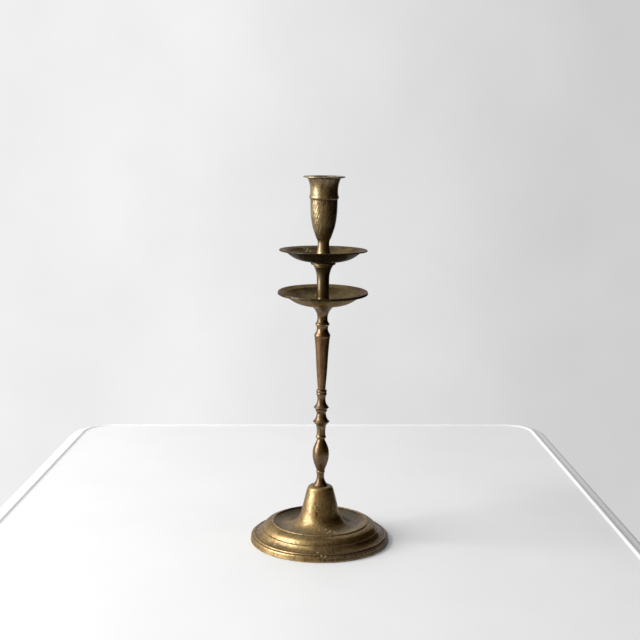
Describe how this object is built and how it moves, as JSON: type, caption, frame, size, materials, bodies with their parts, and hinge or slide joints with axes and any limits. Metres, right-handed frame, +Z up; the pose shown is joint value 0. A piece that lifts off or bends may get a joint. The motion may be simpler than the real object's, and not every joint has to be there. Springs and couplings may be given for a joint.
{
  "type": "candlestick",
  "caption": "Tall turned brass candlestick: moulded round base, slender stem, stacked drip pans and a goblet-shaped candle socket with a flat rim.",
  "frame": {"origin": "centre of the base's foot ring, on the table plane", "axes": "+Z up along the stem to the candle socket's rim, -Y towards the viewer of the picture, +X to the viewer's right"},
  "size_m": [0.134, 0.134, 0.3504],
  "materials": {
    "cast_brass": "cast and turned, worn, pitted and stained",
    "turned_brass": "turned, aged, with brown tarnish in the grooves",
    "copper_brass": "turned, aged, redder than the pieces beside it",
    "pan_brass": "spun and turned, aged, with wax and verdigris spots",
    "cup_brass": "turned, with fine slanting tool marks, aged",
    "plain_brass": "stamped, dull",
    "plain_steel": "thread-cut, dull, slightly oily"
  },
  "bodies": {
    "stand": {"base": "cast_brass", "base_washer": "plain_brass", "base_nut": "plain_steel", "base_stud": "plain_steel", "baluster": "turned_brass", "baluster_stud": "plain_steel", "knop": "turned_brass", "knop_stud": "plain_steel", "shaft": "copper_brass", "shaft_stud": "plain_steel", "capital": "turned_brass", "lower_pan_stud": "plain_steel"},
    "lower_pan": {"lower_pan": "pan_brass"},
    "spacer": {"spacer": "cup_brass", "upper_pan_stud": "plain_steel"},
    "upper_pan": {"upper_pan": "pan_brass"},
    "cup": {"candle_cup": "cup_brass"}
  },
  "joints": [
    {"name": "spacer_turn", "type": "hinge", "parent": "stand", "child": "lower_pan", "pos_m": [0, 0, 0.2284], "axis": [0, 0, 1], "range_deg": [0, 3600]},
    {"name": "spacer_rise", "type": "slide", "parent": "lower_pan", "child": "spacer", "axis": [0, 0, 1], "range_m": [0, 0.008]},
    {"name": "cup_turn", "type": "hinge", "parent": "spacer", "child": "upper_pan", "pos_m": [0, 0, 0.2681], "axis": [0, 0, 1], "range_deg": [0, 3600]},
    {"name": "cup_rise", "type": "slide", "parent": "upper_pan", "child": "cup", "axis": [0, 0, 1], "range_m": [0, 0.008]}
  ],
  "couplings": [
    {"joint": "spacer_rise", "follows": "spacer_turn", "m_per_rad": 0.00012732},
    {"joint": "cup_rise", "follows": "cup_turn", "m_per_rad": 0.00012732}
  ]
}
